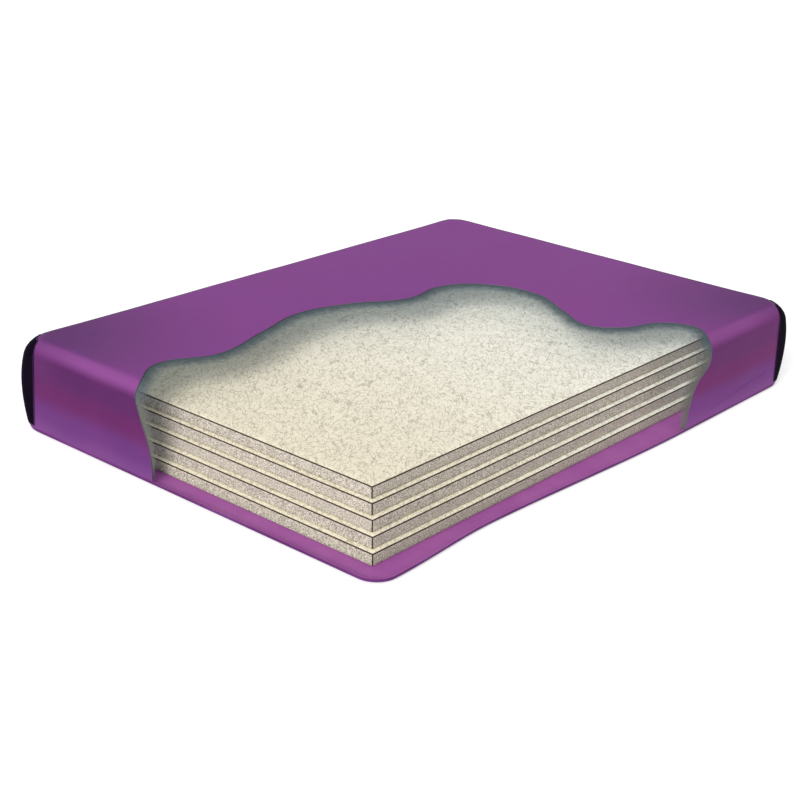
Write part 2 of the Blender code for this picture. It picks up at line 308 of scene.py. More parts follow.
def coverOutside():
    paint = coverPaint
    made, tree, shader, coords = newMaterial("coverVinyl", paint["roughness"], IOR=faintGloss)
    x, y, z = separate(tree, coords)
    grain = placeGroup(tree, vinylGrain, {"Vector": coords, "Grain Scale": 420.0, "Cloud Scale": 3.0})
    waver = mapRange(tree, noiseNode(tree, coords, 2.2, 2.0)["Fac"], 0.0, 1.0, -0.02, 0.02, smooth=False)
    height = mathNode(tree, "DIVIDE", mathNode(tree, "ADD", z, waver), mattress["height"])
    # painted shading of the walls by height, lighter at the foot and darker under the roll
    side = colourRamp(tree, height, [
        (0.02, paint["foot"]), (0.95, paint["upper"]), (0.25, paint["low"]),
        (0.48, paint["middle"]), (0.72, paint["upper"])])
    # painted shade on the front end wall
    side = mixColour(tree, mapRange(tree, y, -0.98, -1.05), side, paint["frontShade"], "MULTIPLY")
    # painted shade on the top, darker towards the two corners
    nearest = None
    for corner in paint["shadedCorners"]:
        away = addNode(tree, "ShaderNodeVectorMath", {0: coords, 1: corner}, operation="DISTANCE").outputs["Value"]
        nearest = away if nearest is None else mathNode(tree, "MINIMUM", nearest, away)
    cornerShade = mapRange(tree, nearest, 0.0, paint["cornerShadeReach"], 1.0, 0.0)
    top = mixColour(tree, cornerShade, paint["top"], paint["topCornerShade"])
    colour = mixColour(tree, mapRange(tree, z, 0.262, 0.299), side, top)

    # painted highlight on the roll, weaker near the two shaded corners
    ridgeHighlight = band(tree, z, (0.248, 0.286), (0.292, 0.2999))
    ridgeHighlight = mathNode(tree, "MULTIPLY", ridgeHighlight, mapRange(tree, nearest, 0.0, 0.35, 0.25, 0.8))
    colour = mixColour(tree, ridgeHighlight, colour, paint["ridgeHighlight"])

    # painted shade of a slanting crease low on the right wall; the wall has no dent there
    creaseHeight = mapRange(tree, y, *paint["creaseRun"], *paint["creaseHeights"], smooth=False)
    fromCrease = mathNode(tree, "ABSOLUTE", mathNode(tree, "SUBTRACT", z, creaseHeight))
    creaseShade = mapRange(tree, fromCrease, 0.0, paint["creaseHalfWidth"], 1.0, 0.0)
    creaseShade = mathNode(tree, "MULTIPLY", creaseShade, mapRange(tree, x, 0.755, 0.760))
    creaseShade = mathNode(tree, "MULTIPLY", creaseShade, band(tree, y, (0.46, 0.60), (0.90, 0.98)))
    colour = mixColour(tree, mathNode(tree, "MULTIPLY", creaseShade, paint["creaseShare"]), colour, paint["creaseShade"])

    # painted shade: a dark line along the two far edges of the top
    farEdge = mathNode(tree, "MAXIMUM", mapRange(tree, x, -0.70, -0.73), mapRange(tree, y, 1.00, 1.03))
    farEdgeShade = band(tree, z, (0.2925, 0.2955), (0.2975, 0.2990))
    colour = mixColour(tree, mathNode(tree, "MULTIPLY", farEdge, farEdgeShade), colour, paint["weld"])

    rubbed = mapRange(tree, grain["Cloud"], 0.0, 1.0, 0.0, paint["rubbedShare"], smooth=False)
    colour = mixColour(tree, rubbed, colour, paint["rubbed"])
    tree.links.new(colour, shader.inputs["Base Color"])
    tree.links.new(mathNode(tree, "ADD", grain["Roughness Shift"], paint["roughness"]), shader.inputs["Roughness"])
    bumpTo(tree, shader, grain["Height"], **vinylBump)
    return made


def plainVinyl(name, colour, second, roughness, grainScale=420.0, gloss=faintGloss):
    made, tree, shader, coords = newMaterial(name, roughness, IOR=gloss)
    grain = placeGroup(tree, vinylGrain, {"Vector": coords, "Grain Scale": grainScale, "Cloud Scale": 7.0})
    tree.links.new(mixColour(tree, grain["Cloud"], colour, second), shader.inputs["Base Color"])
    tree.links.new(mathNode(tree, "ADD", grain["Roughness Shift"], roughness), shader.inputs["Roughness"])
    bumpTo(tree, shader, grain["Height"], **vinylBump)
    return made


coverVinyl = coverOutside()
coverInside = plainVinyl("coverInside", screenColour(168, 172, 182), screenColour(150, 156, 168), 0.6)
insidePaintedLight = {"Emission Color": (0.80, 0.92, 1.0, 1), "Emission Strength": 0.27}  # painted light: the inside of the cover glows to light the fibre in the shade under it, in place of daylight through the vinyl
for socket, value in insidePaintedLight.items():
    coverInside.node_tree.nodes["Principled BSDF"].inputs[socket].default_value = value
cutRim = plainVinyl("cutRim", screenColour(92, 84, 100), screenColour(112, 100, 118), 0.5)
bandVinyl = plainVinyl("bandVinyl", screenColour(84, 34, 92), screenColour(98, 46, 108), 0.4)
rimVinyl = plainVinyl("rimVinyl", screenColour(150, 84, 150), screenColour(168, 104, 166), 0.45)
trayVinyl = plainVinyl("trayVinyl", screenColour(152, 83, 152), screenColour(160, 92, 156), 0.4)
patchVinyl = plainVinyl("patchVinyl", screenColour(8, 2, 14), screenColour(14, 5, 22), 0.6, gloss=1.06)
# painted highlight: the light lavender of the welded rim round each black patch
patchWeldHighlight = plainVinyl("patchWeldHighlight", screenColour(84, 60, 112), screenColour(60, 40, 86), 0.4)
print("materials for vinyl made")


fibreLook = {
    "fibreTop": {
        # painted light: the top grows lighter towards the back, where the cover's shade falls
        "frontColour": screenColour(234, 226, 204), "backColour": screenColour(240, 238, 226), "curl": screenColour(128, 120, 100),
        "scale": 60.0, "width": 0.038, "cover": 0.56, "share": 0.55, "depth": 0.0010},
    "fibreSeam": {
        "frontColour": screenColour(70, 57, 48), "backColour": screenColour(64, 54, 47), "curl": screenColour(44, 35, 29),
        "scale": 90.0, "width": 0.05, "cover": 0.5, "share": 0.4, "depth": 0.0005},
    # painted shade along the lower edge of each layer, where it sits on the one below
    "fibreContactShade": {
        "frontColour": screenColour(170, 158, 140), "backColour": screenColour(150, 142, 128), "curl": screenColour(110, 100, 86),
        "scale": 90.0, "width": 0.05, "cover": 0.5, "share": 0.4, "depth": 0.0005},
    "slant": -40,  # degrees, as the web is carded slantwise
    "blotch": 0.12,
}


def fibreMaterial(name):
    look = fibreLook[name]
    made, tree, shader, coords = newMaterial(name, 0.92, IOR=faintGloss)
    # colour changes from front to back; on the top it is painted light that lifts the shade under the cover
    base = mixColour(tree, mapRange(tree, separate(tree, coords)[1], -1.0, 0.45), look["frontColour"], look["backColour"])
    blotches = mapRange(tree, noiseNode(tree, coords, 30.0, 4.0, 0.6)["Fac"], 0.35, 0.75, 0.0, fibreLook["blotch"])
    base = mixColour(tree, blotches, base, look["curl"])
    slant = (0, 0, math.radians(fibreLook["slant"]))
    turned = addNode(tree, "ShaderNodeMapping", {"Vector": coords, "Rotation": slant})
    drawn = addNode(tree, "ShaderNodeMapping", {"Vector": turned.outputs[0], "Scale": (1.0, 0.5, 1.0)})
    curls = placeGroup(tree, curlyFibre, {
        "Vector": drawn.outputs[0], "Scale": look["scale"], "Width": look["width"], "Cover": look["cover"]})
    colour = mixColour(tree, mathNode(tree, "MULTIPLY", curls["Lines"], look["share"]), base, look["curl"])
    tree.links.new(colour, shader.inputs["Base Color"])
    bumpTo(tree, shader, curls["Height"], 0.5, look["depth"])
    return made


sideLook = {
    "specks": [
        (0.36, screenColour(100, 92, 84)), (0.62, screenColour(212, 205, 194)), (0.50, screenColour(177, 169, 159))],
    "speckScale": 260.0,
    "cloud": screenColour(158, 152, 140), "cloudShare": 0.30,
    "lowest": (1.12, 1.22, 1.08, 1),  # lifts the bottom layer, which lies in the shade of the rim
    "curl": screenColour(110, 100, 90), "curlShare": 0.15,
}


def speckledSide():
    look = sideLook
    made, tree, shader, coords = newMaterial("fibreSide", 0.95, IOR=faintGloss)
    specks = noiseNode(tree, coords, look["speckScale"], 2.0, 0.9)["Fac"]
    wide = mapRange(tree, noiseNode(tree, coords, 45.0, 3.0)["Fac"], 0.35, 0.7, 0.0, look["cloudShare"])
    colour = mixColour(tree, wide, colourRamp(tree, specks, look["specks"], "LINEAR"), look["cloud"])
    low = mapRange(tree, separate(tree, coords)[2], 0.0, 0.06, 1.0, 0.0)
    colour = mixColour(tree, low, colour, look["lowest"], "MULTIPLY")
    curls = placeGroup(tree, curlyFibre, {"Vector": coords, "Scale": 95.0, "Width": 0.06, "Cover": 0.5})
    colour = mixColour(tree, mathNode(tree, "MULTIPLY", curls["Lines"], look["curlShare"]), colour, look["curl"])
    tree.links.new(colour, shader.inputs["Base Color"])
    bumpTo(tree, shader, mathNode(tree, "ADD", curls["Height"], specks), 0.6, 0.0008)
    return made


fibreTop = fibreMaterial("fibreTop")
fibreSide = speckledSide()
fibreSeam = fibreMaterial("fibreSeam")
fibreContactShade = fibreMaterial("fibreContactShade")
print("materials for fibre made")


def cornerRadius(z):
    fromMiddle = 2 * z / mattress["height"] - 1
    end = mattress["cornerFloor"] if fromMiddle < 0 else mattress["cornerTop"]
    return mattress["cornerMid"] + (end - mattress["cornerMid"]) * fromMiddle ** 2


def roundedPlace(x, y, z, proud=0.0):
    # turns a point on the plain box into its place on the rolled, round-cornered skin
    halfX, halfY = mattress["width"] / 2, mattress["length"] / 2
    roll, height = mattress["roll"], mattress["height"]
    inward = min(halfX - abs(x), halfY - abs(y))  # zero on the walls
    out = max(0.0, roll - inward)
    up = max(0.0, z - (height - roll))
    inset, newZ = inward, z
    if up > 0 and out > 0:
        length = math.hypot(out, up)
        inset = roll - (roll + proud) * out / length
        newZ = height - roll + (roll + proud) * up / length
    elif up > 0:
        newZ = z + proud
    else:
        inset = -proud
    radius = cornerRadius(min(newZ, height))
    coreX = max(-(halfX - radius), min(halfX - radius, x))
    coreY = max(-(halfY - radius), min(halfY - radius, y))
    away = Vector((x - coreX, y - coreY))
    reach = away.length
    if reach > 1e-9:
        furthest = max(abs(away.x), abs(away.y))
        wanted = radius - inset if (out > 0 or up <= 0) else furthest
        away *= wanted / reach
    return Vector((coreX + away.x, coreY + away.y, newZ))


cutLook = {
    "top": [
        (-0.200, -1.067), (-0.283, -0.910), (-0.220, -0.720), (-0.270, -0.490), (-0.318, -0.270), (-0.270, -0.080),
        (-0.175, 0.100), (-0.182, 0.300), (-0.095, 0.425), (0.085, 0.473), (0.285, 0.380), (0.407, 0.329),
        (0.500, 0.400), (0.560, 0.530), (0.650, 0.578), (0.762, 0.525)],
    "front": [
        (-0.200, 0.300), (-0.204, 0.270), (-0.185, 0.207), (-0.150, 0.130), (-0.134, 0.063), (-0.130, 0.000)],
    "right": [(0.500, 0.300), (0.522, 0.260), (0.520, 0.215), (0.448, 0.154), (0.419, 0.085), (0.406, 0.000)],
    "steps": 12, "margin": 0.100,
}


def cutterPrism(name, knots, closing, depth, origin, across, up):
    startClean()
    bpy.ops.curve.primitive_bezier_curve_add(radius=1, location=(0, 0, 0))
    made = named(name)
    made.data.dimensions = "2D"
    made.data.fill_mode = "BOTH"
    made.data.extrude = depth / 2
    made.data.resolution_u = cutLook["steps"]
    made.data.splines.clear()
    line = made.data.splines.new("BEZIER")
    points = knots + closing
    line.bezier_points.add(len(points) - 1)
    line.use_cyclic_u = True
    for index, (point, (first, second)) in enumerate(zip(line.bezier_points, points)):
        point.co = (first, second, 0)
        kind = "AUTO" if index < len(knots) else "VECTOR"
        point.handle_left_type = kind
        point.handle_right_type = kind
    line.bezier_points[0].handle_left_type = "VECTOR"
    line.bezier_points[len(knots) - 1].handle_right_type = "VECTOR"
    third = Vector(across).cross(Vector(up))
    turn = Matrix((Vector(across), Vector(up), third)).transposed().to_4x4()
    bpy.ops.object.convert(target="MESH")
    made = bpy.context.object
    made.matrix_world = Matrix.Translation(Vector(origin)) @ turn
    applyPlace(made)
    editOn(made, "VERT")
    bpy.ops.mesh.select_all(action="SELECT")
    bpy.ops.mesh.remove_doubles(threshold=0.00001)
    bpy.ops.mesh.normals_make_consistent(inside=False)
    editOff()
    giveMaterials(made, cutRim)
    return made


def windowCutters():
    margin, roll, height = cutLook["margin"], mattress["roll"], mattress["height"]
    outX, outY = mattress["width"] / 2 + margin, mattress["length"] / 2 + margin
    depth = roll + margin
    top, front, right = cutLook["top"], cutLook["front"], cutLook["right"]
    aroundTop = [(outX, top[-1][1]), (outX, -outY), (top[0][0], -outY)]
    aroundFront = [(front[-1][0], -margin), (outX, -margin), (outX, height + margin), (front[0][0], height + margin)]
    aroundRight = [
        (right[-1][0], -margin), (-outY, -margin), (-outY, height + margin), (right[0][0], height + margin)]
    topPlace = (0, 0, height - roll + depth / 2)
    frontPlace = (0, -mattress["length"] / 2 + roll - depth / 2, 0)
    rightPlace = (mattress["width"] / 2 - roll + depth / 2, 0, 0)
    return [
        cutterPrism("cutTop", top, aroundTop, depth, topPlace, (1, 0, 0), (0, 1, 0)),
        cutterPrism("cutFront", front, aroundFront, depth, frontPlace, (1, 0, 0), (0, 0, 1)),
        cutterPrism("cutRight", right, aroundRight, depth, rightPlace, (0, 1, 0), (0, 0, 1)),
    ]


coverLook = {
    "xParts": 126, "yParts": 176, "wallParts": 24, "foot": 0.0153,
    "sag": 0.0022,  # how far the skin dips between its high places
    # distances over which nothing sags, and over which the sag then comes in
    "footCalm": (0.02, 0.05), "cornerCalm": (0.12, 0.1), "valveCalm": (0.05, 0.05),
    "cornerPlace": (0.76, 1.06),
    "valveHeight": 0.150, "valveHole": 0.0303,
}


def easing(distance, calm):
    return clamp((distance - calm[0]) / calm[1])


def sagAt(x, y, z):
    slow = noise.noise(Vector((x * 2.1 + 3, y * 2.1, z * 5)))
    slow += 0.5 * noise.noise(Vector((x * 5.3, y * 5.3 + 7, z * 7)))
    cornerX, cornerY = coverLook["cornerPlace"]
    share = easing(z, coverLook["footCalm"])
    share *= easing(math.hypot(abs(x) - cornerX, abs(y) - cornerY), coverLook["cornerCalm"])
    if y > 1.0:
        share *= easing(math.hypot(x, z - coverLook["valveHeight"]), coverLook["valveCalm"])
    return coverLook["sag"] * share * (0.5 + 0.5 * slow)


def makeCover():
    made = addGrid("coverSkin", coverLook["xParts"], coverLook["yParts"],
                   mattress["width"], mattress["length"], mattress["height"])
    editOn(made, "EDGE")
    bpy.ops.mesh.select_all(action="SELECT")
    bpy.ops.mesh.region_to_loop()
    wallDrop = (0, 0, coverLook["foot"] - mattress["height"])
    bpy.ops.mesh.extrude_region_move(TRANSFORM_OT_translate={"value": wallDrop})
    pick(made, "edges", lambda edge: abs(edge.verts[0].co.z - edge.verts[1].co.z) > 0.1)
    bpy.ops.mesh.subdivide(number_cuts=coverLook["wallParts"] - 1)
    editOff()
    for vertex in made.data.vertices:
        vertex.co = roundedPlace(*vertex.co)
    faceOutward(made)
    made.data.update()
    for vertex, normal in [(v, v.normal.copy()) for v in made.data.vertices]:
        vertex.co -= normal * sagAt(*vertex.co)
    giveMaterials(made, coverVinyl, coverInside, cutRim)
    applyModifier(made, "SOLIDIFY", thickness=mattress["sheet"], offset=-1, use_even_offset=True,
                  material_offset=1, material_offset_rim=2)
    cutters = windowCutters()
    startClean()
    bpy.ops.mesh.primitive_cylinder_add(
        vertices=64, radius=coverLook["valveHole"], depth=0.2,
        location=(0, mattress["length"] / 2, coverLook["valveHeight"]), rotation=(math.pi / 2, 0, 0))
    cutters.append(named("cutValve"))
    giveMaterials(cutters[-1], cutRim)
    for cutter in cutters:
        applyModifier(made, "BOOLEAN", operation="DIFFERENCE", solver="EXACT", object=cutter)
    for cutter in cutters:
        bpy.data.objects.remove(cutter, do_unlink=True)
    smoothEdges(made)
    return made


coverSkin = makeCover()
print("cover skin made")

# the film along the cut is painted shade: a dark smoky sheet standing in for the shade that falls under the cut edge of
# the cover
cutShadeLook = {
    "width": 0.062, "frontWidth": 0.056, "rightWidth": 0.084,
    "taper": 26, "endShare": 0.4,  # steps over which it narrows at each end, and what is left at the right one
    "tuck": 0.004,  # how far its outer edge lies behind the cut
    "droop": 0.18, "under": 0.0028, "thickness": 0.0004,
    "points": 420, "across": 6,
    "haze": 0.86,
    # colours of the painted shade, grey on the walls and slate under the top
    "wall": (screenColour(92, 92, 90), screenColour(108, 108, 102)),
    "upper": (screenColour(64, 78, 88), screenColour(86, 99, 104)),
}


def cutShadeMaterial():  # painted shade: a smoky film along the cut edge, fading away from it
    made, tree, shader, coords = newMaterial("cutShadeMaterial", 0.6, IOR=faintGloss)
    across = separate(tree, addNode(tree, "ShaderNodeTexCoord").outputs["UV"])[1]
    cloud = noiseNode(tree, coords, 40.0, 3.0)["Fac"]
    ragged = mathNode(tree, "ADD", across, mapRange(tree, cloud, 0.3, 0.7, -0.05, 0.05))
    tree.links.new(mapRange(tree, ragged, -0.1, 0.9, cutShadeLook["haze"], 0.0), shader.inputs["Alpha"])
    height = mapRange(tree, separate(tree, coords)[2], 0.22, 0.285)
    wall = mixColour(tree, cloud, *cutShadeLook["wall"])
    upper = mixColour(tree, cloud, *cutShadeLook["upper"])
    tree.links.new(mixColour(tree, height, wall, upper), shader.inputs["Base Color"])
    bumpTo(tree, shader, cloud, 0.3, 0.0006)
    return made


def cutLine(cover):  # points and outward normals along the cut, from the front end round to the right side
    mesh = cover.data
    outside, rim = 0, 2  # material slots of the cover
    owners = {}
    for face in mesh.polygons:
        for key in face.edge_keys:
            owners.setdefault(key, []).append(face)
    links, normals = {}, {}
    for key, faces in owners.items():
        kinds = {face.material_index for face in faces}
        middle = (mesh.vertices[key[0]].co + mesh.vertices[key[1]].co) / 2
        if kinds == {outside, rim} and middle.z > coverLook["foot"] + 0.0004 and middle.y < 0.9:
            outer = next(face for face in faces if face.material_index == outside)
            for first, second in (key, key[::-1]):
                links.setdefault(first, []).append(second)
                normals[first] = normals.get(first, Vector()) + outer.normal
    ends = [index for index, others in links.items() if len(others) == 1]
    here = min(ends, key=lambda index: mesh.vertices[index].co.x)
    before, places, outward = None, [], []
    while here is not None:
        places.append(mesh.vertices[here].co.copy())
        outward.append(normals[here].normalized())
        following = [other for other in links[here] if other != before]
        before, here = here, (following[0] if following else None)
    return places, outward


def evenly(places, outward, count):  # the same line with its points spaced evenly
    lengths = [0.0]
    for first, second in zip(places, places[1:]):
        lengths.append(lengths[-1] + (second - first).length)
    found, index = [], 0
    for step in range(count):
        wanted = lengths[-1] * step / (count - 1)
        while index < len(lengths) - 2 and lengths[index + 1] < wanted:
            index += 1
        share = (wanted - lengths[index]) / max(1e-9, lengths[index + 1] - lengths[index])
        place = places[index].lerp(places[index + 1], share)
        found.append((place, outward[index].lerp(outward[index + 1], share).normalized()))
    return found


def cutShadeReach(normal):  # width of the film where the cover faces this way
    sides = ("width", max(0.0, normal.z)), ("frontWidth", max(0.0, -normal.y)), ("rightWidth", max(0.0, normal.x))
    return sum(cutShadeLook[side] * share for side, share in sides) / sum(share for side, share in sides)


def makeCutShade():
    points = evenly(*cutLine(coverSkin), cutShadeLook["points"])
    count, across = len(points), cutShadeLook["across"]
    made = addGrid("cutShadeFilm", count - 1, across - 1, 1, 1, 0)
    inward = []
    for index, (place, normal) in enumerate(points):
        ahead = points[min(count - 1, index + 3)][0] - points[max(0, index - 3)][0]
        inward.append(normal.cross(ahead.normalized()))
    windowMiddle = Vector((0.3, -0.5, 0.3))
    if inward[count // 2].dot(windowMiddle - points[count // 2][0]) < 0:
        inward = [-direction for direction in inward]
    for row in range(across):
        for index, (place, normal) in enumerate(points):
            reach = cutShadeReach(normal) * row / (across - 1)
            first, last = (min(1.0, steps / cutShadeLook["taper"]) for steps in (index, count - 1 - index))
            edge = first * (cutShadeLook["endShare"] + (1 - cutShadeLook["endShare"]) * last)
            sunk = cutShadeLook["under"] + reach * cutShadeLook["droop"]
            vertex = made.data.vertices[row * count + index]
            vertex.co = place - normal * sunk + inward[index] * (reach * edge - cutShadeLook["tuck"])
    giveMaterials(made, cutShadeMaterial())
    made.data.update()
    if sum(face.normal.z for face in made.data.polygons) < 0:
        turnFacesOver(made)
    applyModifier(made, "SOLIDIFY", thickness=cutShadeLook["thickness"], offset=-1)
    smoothEdges(made)
    return made


cutShadeFilm = makeCutShade()
print("inner liner made")

trayLook = {
    "corner": 0.110, "wallCorner": 0.085, "cutCorner": 0.072,  # plan radii: as bevelled, then as moved
    "roll": 0.012, "weld": 0.003, "sheet": 0.002,
    "rollSteps": 5, "cornerSteps": 20, "sideSteps": 40,
    # width and lift of each step inward from the roll: a margin, the welded double line, the floor
    "margin": [(0.004, 0.0), (0.0015, -0.0006), (0.003, 0.0), (0.0015, 0.0006), (0.020, 0.0), (0.020, 0.0)],
    "drawnIn": 0.040, "drawnFrom": 0.40, "drawnOver": 1.1,
    "backFrom": -0.55, "backOver": 0.45, "backShare": 0.55,
}


def trayCorner(x, y):  # moves a point of the bevelled corner to the radius that this corner has
    start = trayLook["corner"]
    coreX, coreY = mattress["width"] / 2 - start, mattress["length"] / 2 - start
    if abs(x) <= coreX + 1e-6 or abs(y) <= coreY + 1e-6:
        return x, y
    wanted = trayLook["cutCorner"] if x > 0 > y else trayLook["wallCorner"]
    away = Vector((abs(x) - coreX, abs(y) - coreY))
    first, second = away.normalized()
    shift = start - wanted
    slope = (first + second) * shift
    reach = slope + math.sqrt(max(0.0, slope * slope - 2 * shift * shift + wanted * wanted))
    if min(first, second) * reach < shift:
        reach = start / max(first, second)
    away *= reach / start
    return math.copysign(coreX + away.x, x), math.copysign(coreY + away.y, y)


def drawnIn(x, y):  # with its wall cut away the rim has drawn in, and comes out again to its rounded corner
    freed = smoothStep(clamp((trayLook["drawnFrom"] - y) / trayLook["drawnOver"]))
    back = smoothStep(clamp((trayLook["backFrom"] - y) / trayLook["backOver"]))
    return trayLook["drawnIn"] * freed * (1 - trayLook["backShare"] * back) * clamp((x - 0.55) / 0.1)


def makeTray():
    startClean()
    bpy.ops.mesh.primitive_plane_add(size=1, location=(0, 0, trayLook["roll"] + trayLook["weld"]))
    made = named("bottomTray")
    made.scale = (mattress["width"], mattress["length"], 1)
    applyPlace(made)
    editOn(made, "VERT")
    bpy.ops.mesh.select_all(action="SELECT")
    bpy.ops.mesh.flip_normals()
    bpy.ops.mesh.bevel(affect="VERTICES", offset=trayLook["corner"], offset_type="OFFSET",
                       segments=trayLook["cornerSteps"], profile=0.5)
    pick(made, "edges", lambda edge: edge.calc_length() > 0.5)
    bpy.ops.mesh.subdivide(number_cuts=trayLook["sideSteps"])
    bpy.ops.mesh.select_mode(type="FACE")
    bpy.ops.mesh.select_all(action="SELECT")
    steps, roll = trayLook["rollSteps"], trayLook["roll"]
    bpy.ops.mesh.inset(thickness=0, depth=trayLook["weld"])
    for step in range(steps):
        before, after = (math.pi / 2 * part / steps for part in (step, step + 1))
        inward, upward = math.cos(before) - math.cos(after), math.sin(after) - math.sin(before)
        bpy.ops.mesh.inset(thickness=roll * inward, depth=roll * upward)
    for width, lift in trayLook["margin"]:
        bpy.ops.mesh.inset(thickness=width, depth=lift)
    editOff()
    for vertex in made.data.vertices:
        vertex.co.xy = trayCorner(vertex.co.x, vertex.co.y)
    for vertex in made.data.vertices:
        vertex.co.x -= drawnIn(vertex.co.x, vertex.co.y)
    giveMaterials(made, bandVinyl, trayVinyl, rimVinyl)
    applyModifier(made, "SOLIDIFY", thickness=trayLook["sheet"], offset=-1, use_even_offset=True,
                  material_offset=1, material_offset_rim=2)
    smoothEdges(made)
    return made


bottomTray = makeTray()
print("bottom tray made")

patchLook = {
    "reach": 0.088, "wider": 0.018,  # reach from the corner at half height, and how much more at the top than the foot
    "low": 0.022, "top": 0.293,
    "rounding": 0.004, "gap": 0.0003, "thickness": 0.0015,
    "blankWidth": 0.190, "columns": 32, "rows": 20,
    "weldSteps": (0.0015, 0.0015, 0.0012), "weldFrom": 0.0015, "weldTo": 0.0031,
    "corners": {"left": (-1, -1), "back": (-1, 1), "right": (1, 1)},
}


def sectionPlace(climb):  # how far in and how high the wall is after climbing so far up it
    straight = mattress["height"] - mattress["roll"]
    if climb <= straight:
        return 0.0, climb
    angle = (climb - straight) / mattress["roll"]
    return mattress["roll"] * (1 - math.cos(angle)), straight + mattress["roll"] * math.sin(angle)


def patchPlace(along, climb, sideX, sideY):
    proud = patchLook["gap"] + patchLook["thickness"]
    inset, z = sectionPlace(climb)
    straight = mattress["height"] - mattress["roll"]
    angle = max(0.0, (climb - straight) / mattress["roll"])
    radius = cornerRadius(z)
    z += proud * math.sin(angle)
    reach = radius - inset + proud * math.cos(angle)
    spread = patchLook["reach"] + patchLook["wider"] * (z / mattress["height"] - 0.5) - 0.8 * inset
    straightPart = max(0.0, spread - radius)
    lastTurn = math.acos(min(0.7, max(0.0, radius - spread) / reach))  # past a quarter turn the patch runs straight on
    arc = radius * (lastTurn - math.pi / 4)
    place = along * (arc + straightPart)  # along runs from -1 to 1
    turn = math.pi / 4 + max(-arc, min(arc, place)) / radius
    x, y = reach * math.cos(turn), reach * math.sin(turn)
    if place > arc:
        x -= place - arc
    elif place < -arc:
        y -= -arc - place
    centreX, centreY = mattress["width"] / 2 - radius, mattress["length"] / 2 - radius
    return Vector((sideX * (centreX + x), sideY * (centreY + y), z))


def makePatch(corner):
    sideX, sideY = patchLook["corners"][corner]
    straight = mattress["height"] - mattress["roll"]
    high = straight + mattress["roll"] * math.asin((patchLook["top"] - straight) / mattress["roll"])
    low, wide = patchLook["low"], patchLook["blankWidth"]
    tall, middle = high - low, (low + high) / 2
    startClean()
    bpy.ops.mesh.primitive_plane_add(size=1, location=(0, middle, 0))
    made = named(corner + "CornerPatch")
    made.scale = (wide, tall, 1)
    applyPlace(made)
    editOn(made, "VERT")
    bpy.ops.mesh.select_all(action="SELECT")
    bpy.ops.mesh.bevel(affect="VERTICES", offset=patchLook["rounding"], segments=6, profile=0.5)
    bpy.ops.mesh.select_mode(type="FACE")
    bpy.ops.mesh.select_all(action="SELECT")
    for inward in patchLook["weldSteps"]:
        bpy.ops.mesh.inset(thickness=inward)
    columns, rows = patchLook["columns"], patchLook["rows"]
    for step in range(1, columns):
        bpy.ops.mesh.select_all(action="SELECT")
        bpy.ops.mesh.bisect(plane_co=(wide * (step / columns - 0.5), 0, 0), plane_no=(1, 0, 0))
    for step in range(1, rows):
        bpy.ops.mesh.select_all(action="SELECT")
        bpy.ops.mesh.bisect(plane_co=(0, low + tall * step / rows, 0), plane_no=(0, 1, 0))
    editOff()
    giveMaterials(made, patchVinyl, patchWeldHighlight)
    # faces of the welded rim take the painted highlight
    for face in made.data.polygons:
        edgeGap = min(wide / 2 - abs(face.center.x), tall / 2 - abs(face.center.y - middle))
        if patchLook["weldFrom"] < edgeGap < patchLook["weldTo"]:
            face.material_index = 1
    for vertex in made.data.vertices:
        vertex.co = patchPlace(vertex.co.x / (wide / 2), vertex.co.y, sideX, sideY)
    faceOutward(made)
    made.data.update()
    if sum(face.normal.x * sideX + face.normal.y * sideY for face in made.data.polygons) < 0:
        turnFacesOver(made)
    applyModifier(made, "SOLIDIFY", thickness=patchLook["thickness"], offset=-1, use_even_offset=True)
    smoothEdges(made)
    return made


patches = {corner: makePatch(corner) for corner in patchLook["corners"]}
print("corner patches made")

layerLook = {
    "count": 5, "thickness": 0.0365, "step": 0.0183, "insetX": 0.108, "insetY": 0.080, "low": 0.0023, "rise": 0.0368,
    "xParts": 44, "yParts": 66, "zParts": 4,
    "seam": 0.0030, "lap": 0.0014,  # widths of the bevels along the upper and lower edges
    "dip": 0.0012,
    "lumps": [(17, 40, 9, 0.6), (61, 90, 5, 0.4)],  # scale across and up, shift from layer to layer, share
    "edgeZone": 0.004,
}


def dipAt(x, y, z, index):
    total = 0.0
    for across, upward, shift, share in layerLook["lumps"]:
        total += share * (0.5 + 0.5 * noise.noise(Vector((x * across, y * across, z * upward + index * shift))))
    return layerLook["dip"] * total


